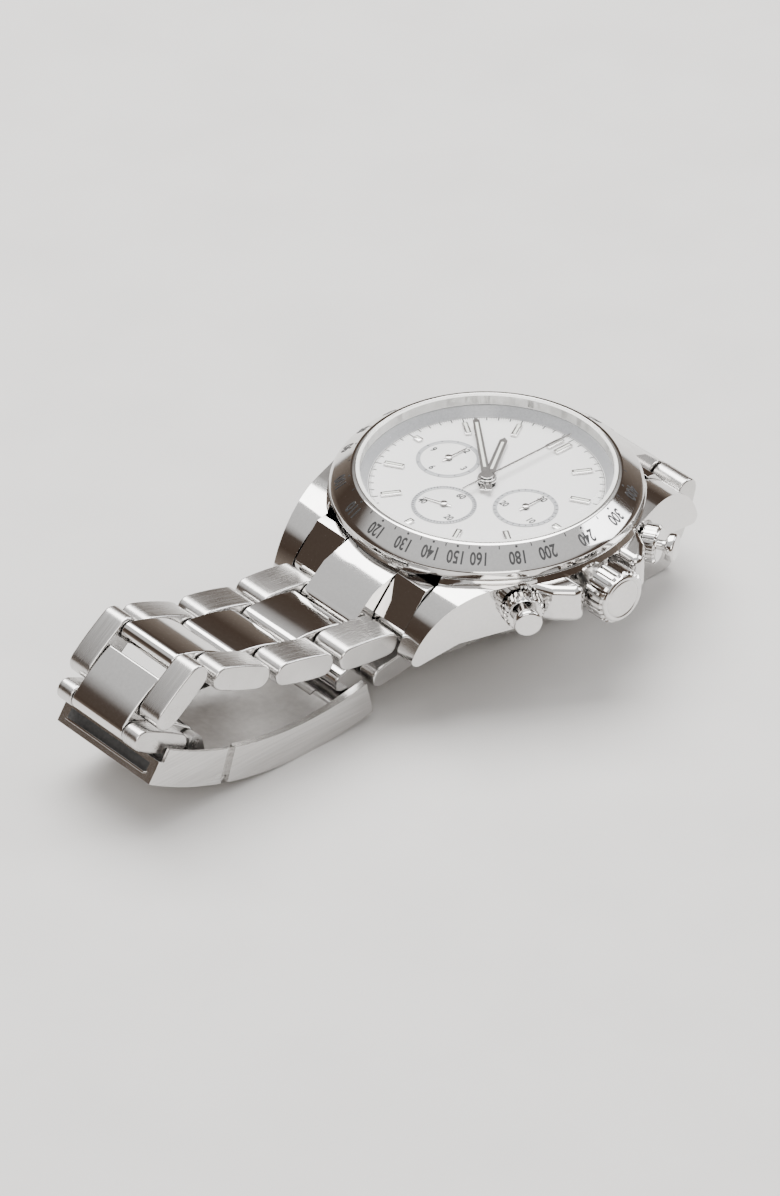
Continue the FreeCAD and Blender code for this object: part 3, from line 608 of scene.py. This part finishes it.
def hands():
    """Hour, minute and chronograph hands, and one hand in each counter."""
    hour, minute, chrono, small = (box_mm(name)[1].z for name in (
        "hour_hand", "minute_hand", "chrono_seconds_hand", "running_seconds_hand"))
    hand = baton_hand(9.5, 2.2, 0.65, HAND_DEPTH, hour, 1.2, HOUR_ANGLE)
    piece(hand, "hour_hand_blade", polished, "hour_hand", ("hour_hand",))
    hand = baton_hand(13.2, 2.6, 0.55, HAND_DEPTH, minute, 1.1, MINUTE_ANGLE)
    piece(hand, "minute_hand_blade", polished, "minute_hand", ("minute_hand",))
    for body, length, top, angle in (("hour_hand", 8.4, hour, HOUR_ANGLE),
                                     ("minute_hand", 12.1, minute, MINUTE_ANGLE)):
        line = block(LINE_START, length, -LINE_HALF, LINE_HALF, top - LINE_RISE, top + LINE_RISE)
        turned_by(soften(line, FLAT_EASE, 1), angle)
        piece(on_head(line), body + "_lume", lume, body)
    hand = baton_hand(14.0, 4.0, 0.18, CHRONO_DEPTH, chrono, 0.8, 0.0, ridge=False)
    piece(hand, "chrono_hand_blade", polished, "chrono_seconds",
          ("chrono_seconds_hand",))
    for body, node, place, angle in (("running_seconds", "running_seconds_hand", "running", RUNNING_ANGLE),
                                     ("minute_counter", "minute_counter_hand", "minute", 0.0),
                                     ("hour_counter", "hour_counter_hand", "hour", 0.0)):
        hand = baton_hand(2.9, 1.0, 0.16, SMALL_DEPTH, small, 0.42, angle, SUBDIALS[place], False)
        piece(hand, node + "_blade", polished, body, (node,))


# ---- crown and pushers ------------------------------------------------------------------
CROWN_FLUTE, CROWN_TEETH, CROWN_CAP = 0.42, 26, 0.35
COLLAR_FLUTE, COLLAR_TEETH, FLUTE_EASE = 0.26, 24, 0.25
LIP_IN, LIP_PROUD, LIP_DEPTH, LIP_EASE = 0.35, 0.12, 0.3, 0.1
CAP_EASE, STEM_REACH = 0.36, 4.6
CROWN_FACE = ((0, 0.2), (0.9, 0.17), (1.85, 0.05), (2.1, 0.0), (2.3, 0.03), (2.45, 0.12), (2.6, 0.02),
              (2.85, 0.0), (3.05, 0.12), (3.15, 0.4), (3.15, 0.9), (0, 0.9))       # radius, depth


def crown():
    """Fluted barrel and a domed face with two fine grooves."""
    low, high = box_mm("crown")
    radius, x, z = (high.x - low.x) / 2, (high.x + low.x) / 2, (high.z + low.z) / 2
    barrel = knurled(radius, CROWN_FLUTE, CROWN_TEETH, low.y + CROWN_CAP, high.y, FLUTE_EASE)
    face = moved(turned_by(lathe(CROWN_FACE, 72, False), -90, "X"), y=low.y)
    knob = moved(joined(barrel, face), x, 0, z)
    piece(knob, "crown_knob", polished, "crown", ("crown",))


def pushers():
    """Two caps on stems, each in its fluted collar."""
    axis_z = (box_mm("crown")[0].z + box_mm("crown")[1].z) / 2
    for name, angle in (("start", PUSHER_ANGLE), ("reset", -PUSHER_ANGLE)):
        collar = knurled(COLLAR_R, COLLAR_FLUTE, COLLAR_TEETH, -COLLAR_OUTER, -COLLAR_INNER, FLUTE_EASE)
        lip = drum(COLLAR_R - LIP_IN, -COLLAR_OUTER - LIP_PROUD, -COLLAR_OUTER + LIP_DEPTH, 48)
        turned = turned_by(moved(joined(collar, soften(lip, LIP_EASE, 2)), z=axis_z), angle)
        piece(on_head(turned), name + "_collar_knurl", polished, name + "_pusher_collar",
              (name + "_pusher_collar",))
        cap = soften(drum(CAP_R, -CAP_OUTER, -CAP_INNER, 56), CAP_EASE, 4)
        stem = drum(CAP_STEM_R, -CAP_INNER, -COLLAR_INNER + STEM_REACH, 32)
        turned = turned_by(moved(joined(cap, stem), z=axis_z), angle)
        piece(on_head(turned), name + "_pusher_cap", polished, name + "_pusher",
              (name + "_pusher",))


# ---- bracelet ---------------------------------------------------------------------------
ARC_STEPS, CROWN_STEPS = 9, 8
PLATE_CROWN, PLATE_EASE, CENTRE_CROWN, CENTRE_EASE = 0.12, 0.3, 0.3, 0.22
SCREW_R, SCREW_PROUD, SCREW_DEPTH, SLOT_HALF, SLOT_DEPTH = 0.72, 0.02, 0.4, 0.11, 0.2


def arc_points(centre, radius, start, end, steps=ARC_STEPS):
    """Points along an arc, from one angle to the other in degrees."""
    angles = [math.radians(start + (end - start) * k / steps) for k in range(steps + 1)]
    return [(centre.x + radius * math.cos(a), centre.y + radius * math.sin(a)) for a in angles]


def bar_outline(a, b, radius, crown, flat_start=False):
    """Side view of a bar with gently crowned faces and round ends, or with a flat start."""
    lie = math.degrees(math.atan2(b.y - a.y, b.x - a.x))
    along, end_r = (b - a).normalized(), radius - crown
    off = Vector((-along.y, along.x))
    shares = [k / CROWN_STEPS for k in range(1, CROWN_STEPS)]
    rises = [(share, end_r + crown * (1 - (2 * share - 1) ** 2)) for share in shares]
    upper = [tuple(b + (a - b) * share + off * rise) for share, rise in rises]
    lower = [tuple(a + (b - a) * share - off * rise) for share, rise in rises]
    start = arc_points(a, end_r, lie + 90, lie + 270, 1 if flat_start else ARC_STEPS)
    return arc_points(b, end_r, lie - 90, lie + 90) + upper + start + lower


def screw_head(x, y, z, radius):
    """Slotted end of a link screw, facing +Y."""
    bm = bmesh.new()
    bmesh.ops.create_circle(bm, cap_ends=True, radius=radius, segments=24)
    for side in (-SLOT_HALF, SLOT_HALF):
        geometry = bm.verts[:] + bm.edges[:] + bm.faces[:]
        bmesh.ops.bisect_plane(bm, geom=geometry, plane_co=(side, 0, 0), plane_no=(1, 0, 0))
    slot = [f for f in bm.faces if abs(f.calc_center_median().x) < SLOT_HALF]
    sunk = bmesh.ops.extrude_face_region(bm, geom=slot)
    bmesh.ops.translate(bm, verts=corners(sunk), vec=(0, 0, -SLOT_DEPTH))
    bmesh.ops.delete(bm, geom=slot, context="FACES")
    rim = [e for e in bm.edges if e.is_boundary]
    skirt = bmesh.ops.extrude_edge_only(bm, edges=rim)
    for vert in corners(skirt):
        vert.co.z = -SCREW_DEPTH
    foot = [g for g in skirt["geom"] if isinstance(g, bmesh.types.BMEdge)]
    bmesh.ops.contextual_create(bm, geom=foot)
    turned_by(bm, -90, "X")
    bmesh.ops.recalc_face_normals(bm, faces=bm.faces)
    return moved(bm, x, y, z)


def link(node, start, end):
    """Two brushed outer plates, a polished centre piece and a slotted screw."""
    low, high = box_mm(node)
    half = (high.y - low.y) / 2
    plate_r = SLIM_PLATE_R if node in ("link_6_5", "link_12_6") else PLATE_R
    along = (end - start) / PITCH
    tail, centre_start = start + along * TAIL, start + along * CENTRE_START
    outline = bar_outline(start, tail, plate_r, PLATE_CROWN)
    sides = ((-half, -PLATE_INSIDE), (PLATE_INSIDE, half))
    plates = [soften(slab(outline, near, far), PLATE_EASE, 3) for near, far in sides]
    piece(moved(joined(*plates), y=HEAD.y), node + "_plates", brushed_long, node, (node,))
    outline = bar_outline(centre_start, end, CENTRE_R, CENTRE_CROWN, True)
    centre = soften(slab(outline, -CENTRE_HALF, CENTRE_HALF), CENTRE_EASE, 3)
    piece(moved(centre, y=HEAD.y), node + "_centre", polished, node)
    screw = moved(screw_head(start.x, half + SCREW_PROUD, start.y, SCREW_R), y=HEAD.y)
    piece(screw, node + "_screw", plain, node)


def bracelet():
    """Five links from the head towards 6 o'clock and six towards 12."""
    side_6 = [pivot_mm("head_hinge")] + [pivot_mm("link_6_%d_hinge" % k) for k in range(1, 6)]
    side_12 = [pivot_mm("link_12_%d_hinge" % k) for k in range(1, 7)]
    lie = math.radians(LAST_LINK_DIRECTION)
    side_12.append(side_12[-1] + Vector((math.cos(lie), math.sin(lie))) * PITCH)
    for prefix, pivots in (("link_6_", side_6), ("link_12_", side_12)):
        for k, (start, end) in enumerate(zip(pivots, pivots[1:]), 1):
            link(prefix + str(k), start, end)


# ---- safety catch -----------------------------------------------------------------------
# Half-thickness of the painted shade sheet, then the ledge's sizes.
SLIT_DEPTH, LEDGE_IN, LEDGE_OUT, LEDGE_DROP, LEDGE_EASE = 0.03, 0.35, 0.06, 0.3, 0.05


def catch_slit():
    """Black sheet painted into the free end of the safety catch as the shade in its gap, and the fingernail ledge
    under it.
    """
    hinge = pivot_mm("safety_catch_flip")
    angle = math.radians(CATCH_ANGLE)
    axis = hinge - Vector((math.sin(angle), -math.cos(angle))) * CATCH_REACH
    # A thin black sheet of painted shade, standing for the dark inside of the gap at the catch's end.
    slit_shade = block(-SLIT_DEPTH, SLIT_DEPTH, -SLIT_HALF, SLIT_HALF, -SLIT_OUT, -SLIT_IN)
    ledge = block(-LEDGE_IN, LEDGE_OUT, -SLIT_HALF, SLIT_HALF, -SLIT_OUT - LEDGE_DROP, -SLIT_OUT)
    soften(ledge, LEDGE_EASE, 2)
    # First the black sheet of painted shade, then the polished ledge.
    for shape, name, finish, slot in ((slit_shade, "catch_slit", black_rubber_and_slit_shade, "dark_gasket"),
                                      (ledge, "catch_ledge", polished, "polished_steel")):
        turned_by(shape, -CATCH_END, "Y")
        piece(moved(shape, axis.x, HEAD.y, axis.y), name, finish, "safety_catch")


# ---- all pieces -------------------------------------------------------------------------
for node, obj in frame["nodes"].items():
    obj.data.materials.clear()
    obj.data.materials.append(SLOT_FINISHES[SLOT_OF[node]])

bezel()
dial_print()
subdials()
hour_markers()
hands()
crown()
pushers()
bracelet()
catch_slit()
for node, finish, width, body in (
        ("mid_case", polished, 0.3, "head"), ("case_back", plain, 0.15, "head"),
        ("end_link_12", polished, 0.2, "head"), ("end_link_6", polished, 0.2, "head"),
        ("clasp_cover", brushed_sides, 0.15, "clasp"),
        ("safety_catch", brushed_sides, 0.15, "safety_catch"),
        ("outer_blade", plain, 0.1, "outer_blade"), ("inner_blade", plain, 0.1, "inner_blade")):
    eased_copy(node, node + "_finished", finish, width, body)


# ---- studio -----------------------------------------------------------------------------
FLOOR_REACH = 3.0
HORIZON = ((0.0, (0.30, 0.25, 0.21)), (0.3, (0.085, 0.06, 0.045)), (0.52, (0.10, 0.075, 0.06)),
           (0.62, (0.85, 0.84, 0.83)), (1.0, (1, 1, 1)))      # colours from straight down to straight up


def studio():
    """Pale floor, three soft lights, and a world that is dark low down so that steel shows its form."""
    floor_bm = bmesh.new()
    bmesh.ops.create_grid(floor_bm, x_segments=1, y_segments=1, size=FLOOR_REACH)
    mesh = bpy.data.meshes.new("floor")
    floor_bm.to_mesh(mesh)
    floor_bm.free()
    floor = bpy.data.objects.new("floor", mesh)
    bpy.context.scene.collection.objects.link(floor)
    mesh.materials.append(lacquer("pale_floor", (0.66, 0.65, 0.64), (0.63, 0.62, 0.61), 0.55, 0.0,
                                  60.0, 0.00002))

    for name, place, size, power, warmth in (
            ("top_softbox", (0.15, 0.25, 0.75), 0.7, 15.0, (1.0, 0.99, 0.97)),
            ("front_softbox", (-0.5, -0.75, 0.55), 0.5, 3.8, (1.0, 0.97, 0.93)),
            ("side_softbox", (0.7, -0.3, 0.5), 0.4, 3.2, (0.97, 0.98, 1.0))):
        light = bpy.data.lights.new(name, "AREA")
        light.shape, light.size, light.energy, light.color = "SQUARE", size, power, warmth
        lamp = bpy.data.objects.new(name, light)
        lamp.location = place
        lamp.rotation_mode = "QUATERNION"
        lamp.rotation_quaternion = Vector(place).to_track_quat("Z", "Y")
        bpy.context.scene.collection.objects.link(lamp)

    world = bpy.data.worlds.new("studio")
    world.use_nodes = True
    bpy.context.scene.world = world
    sky = Finish("studio", world.node_tree)
    up = sky.node("SeparateXYZ", {}, {0: sky.node("TexCoord", {}, {}, "Generated")}, "Z")
    colour = sky.node("ValToRGB", {"stops": HORIZON}, {0: up})
    background = sky.node("Background", {}, {"Color": colour, "Strength": 1.0})
    sky.node("OutputWorld", {}, {"Surface": background})


AZIMUTH, ELEVATION, DISTANCE, LENS = -41.4, 35.5, 0.85, 212.0


def camera():
    """Looks down at the middle of the part from its left front."""
    data = bpy.data.cameras.new("camera")
    data.lens, data.clip_start, data.clip_end = LENS, 0.05, 20.0
    view = bpy.data.objects.new("camera", data)
    a, e = math.radians(AZIMUTH), math.radians(ELEVATION)
    back = Vector((math.sin(a) * math.cos(e), -math.cos(a) * math.cos(e), math.sin(e)))
    view.location = (cad_low + cad_high) / 2 + back * DISTANCE
    view.rotation_mode = "QUATERNION"
    view.rotation_quaternion = back.to_track_quat("Z", "Y")
    bpy.context.scene.collection.objects.link(view)
    bpy.context.scene.camera = view


studio()
camera()
